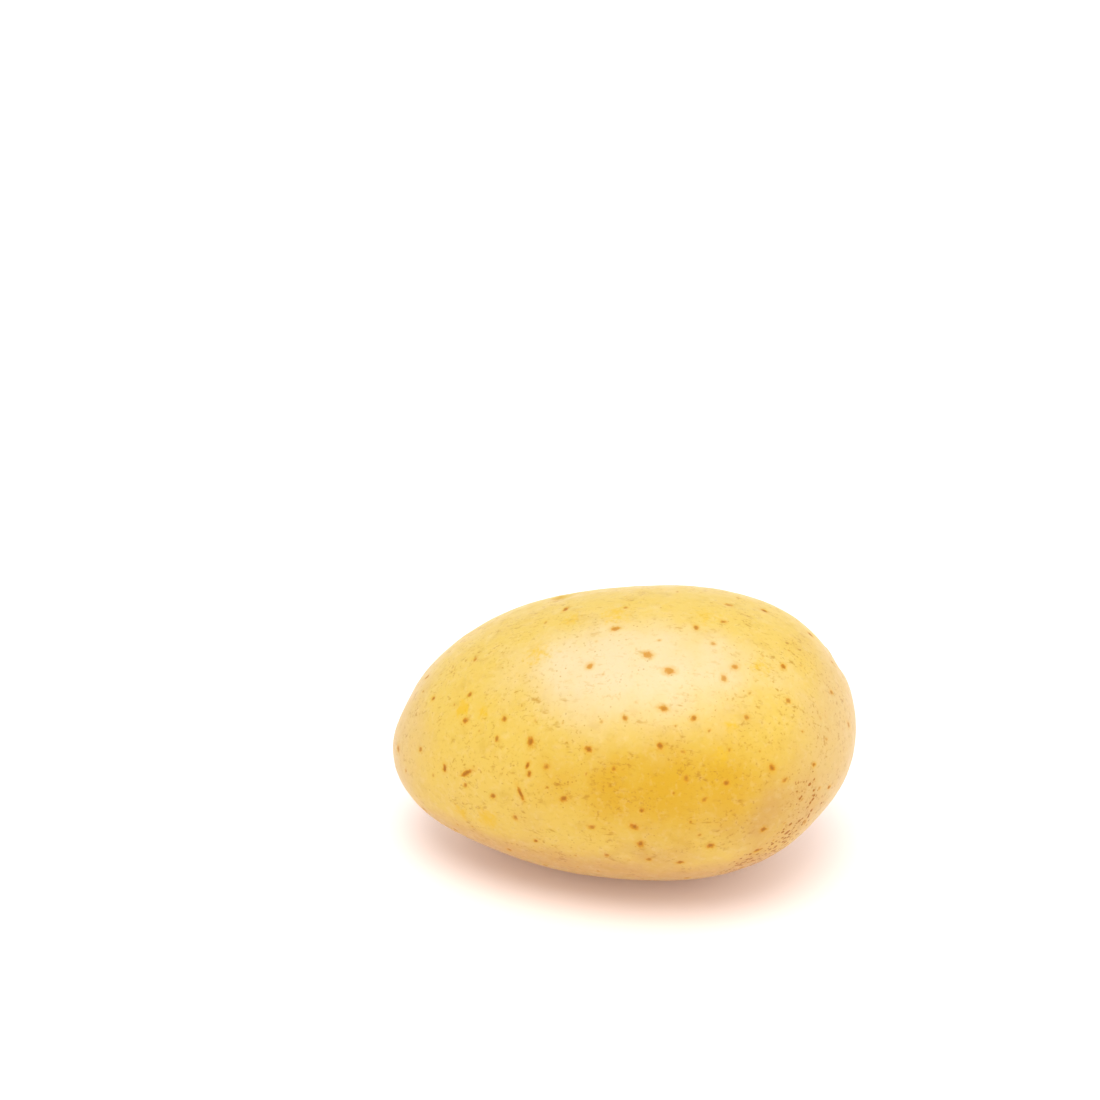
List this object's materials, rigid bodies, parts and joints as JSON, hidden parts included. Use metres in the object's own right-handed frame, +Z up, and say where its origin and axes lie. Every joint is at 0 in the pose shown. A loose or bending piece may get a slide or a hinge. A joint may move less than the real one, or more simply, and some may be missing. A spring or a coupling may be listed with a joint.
{
  "type": "potato",
  "caption": "Small whole yellow table potato, an egg-shaped tuber with smooth satin skin that lies on a small flat spot.",
  "frame": {"origin": "on the ground, under the middle of the tuber's box", "axes": "+X along the tuber's length towards its blunt end, +Y towards its back, +Z up"},
  "size_m": [0.078, 0.054, 0.048],
  "materials": {
    "potato_skin": "washed yellow potato skin, satin, with small brown lenticels"
  },
  "bodies": {
    "root": {"potato": "potato_skin"}
  },
  "joints": []
}
